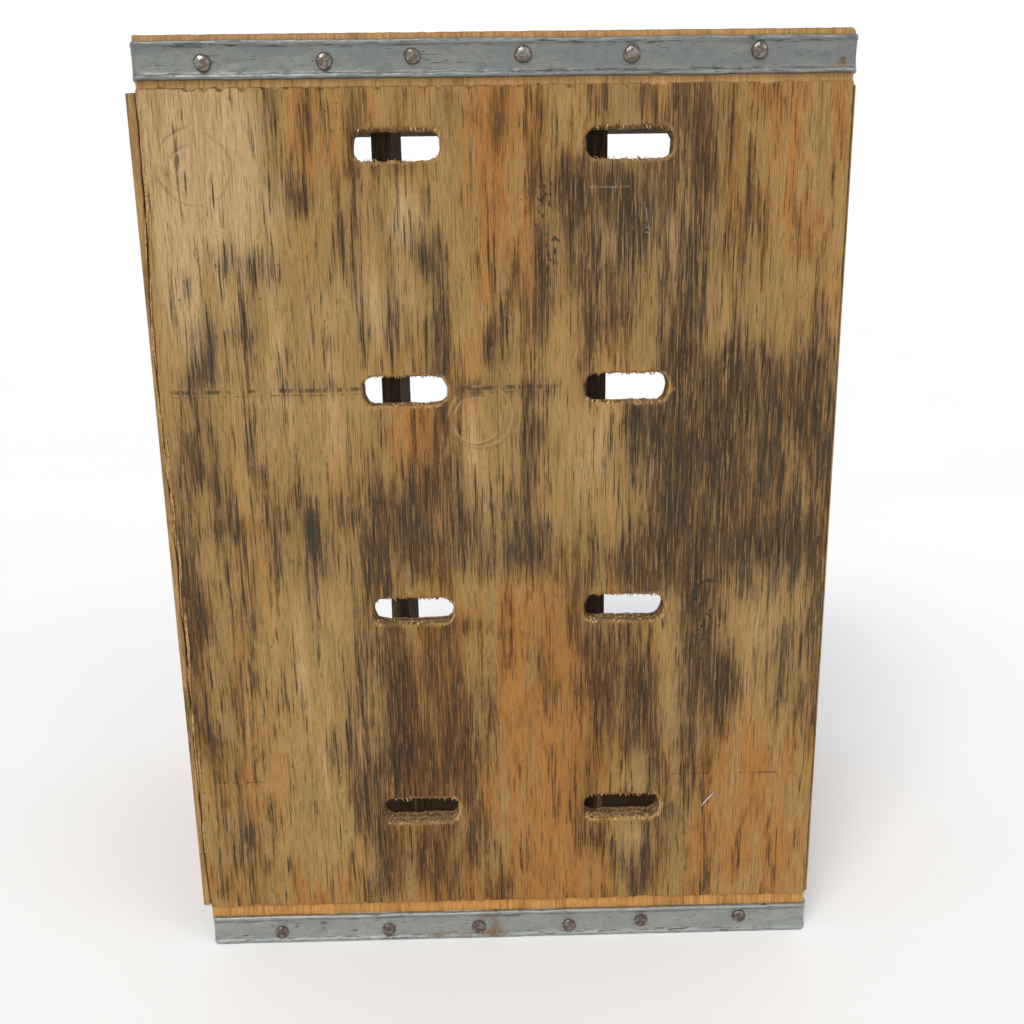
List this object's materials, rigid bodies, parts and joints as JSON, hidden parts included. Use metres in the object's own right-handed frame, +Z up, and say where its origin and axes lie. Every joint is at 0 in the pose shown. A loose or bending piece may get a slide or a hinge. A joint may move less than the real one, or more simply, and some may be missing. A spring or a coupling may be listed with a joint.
{
  "type": "milk bottle crate",
  "caption": "Open wooden crate for quart milk bottles, with half-lapped dividers, drain slots in its plywood bottom and a galvanised steel band round each end.",
  "frame": {"origin": "centre of the footprint of the crate as it stands on its lower end, on the surface it stands on", "axes": "+Z up the crate's length, from the end it stands on to the other end; -Y out of the plywood bottom; +Y out of the open mouth; +X across the width, to the right as seen facing the bottom. Turning the crate +90 degrees about +X sets it mouth up on its bottom."},
  "size_m": [0.3426, 0.2558, 0.476],
  "materials": {
    "plywood": "weathered softwood plywood, stained and worn",
    "board": "weathered softwood board",
    "divider_wood": "dark, damp-stained softwood",
    "galvanised_steel": "dull weathered zinc with rust spots",
    "nail_steel": "dark browned steel"
  },
  "bodies": {
    "root": {"bottom_panel": "plywood", "side_left": "board", "side_right": "board", "end_lower": "board", "end_upper": "board", "long_divider_left": "divider_wood", "long_divider_right": "divider_wood", "cross_divider_lower": "divider_wood", "cross_divider_middle": "divider_wood", "cross_divider_upper": "divider_wood", "band_lower": "galvanised_steel", "band_upper": "galvanised_steel", "nails_bottom_lower": "nail_steel", "nails_bottom_upper": "nail_steel", "nails_side_lower_left": "nail_steel", "nails_side_lower_right": "nail_steel", "nails_side_upper_left": "nail_steel", "nails_side_upper_right": "nail_steel"}
  },
  "joints": []
}
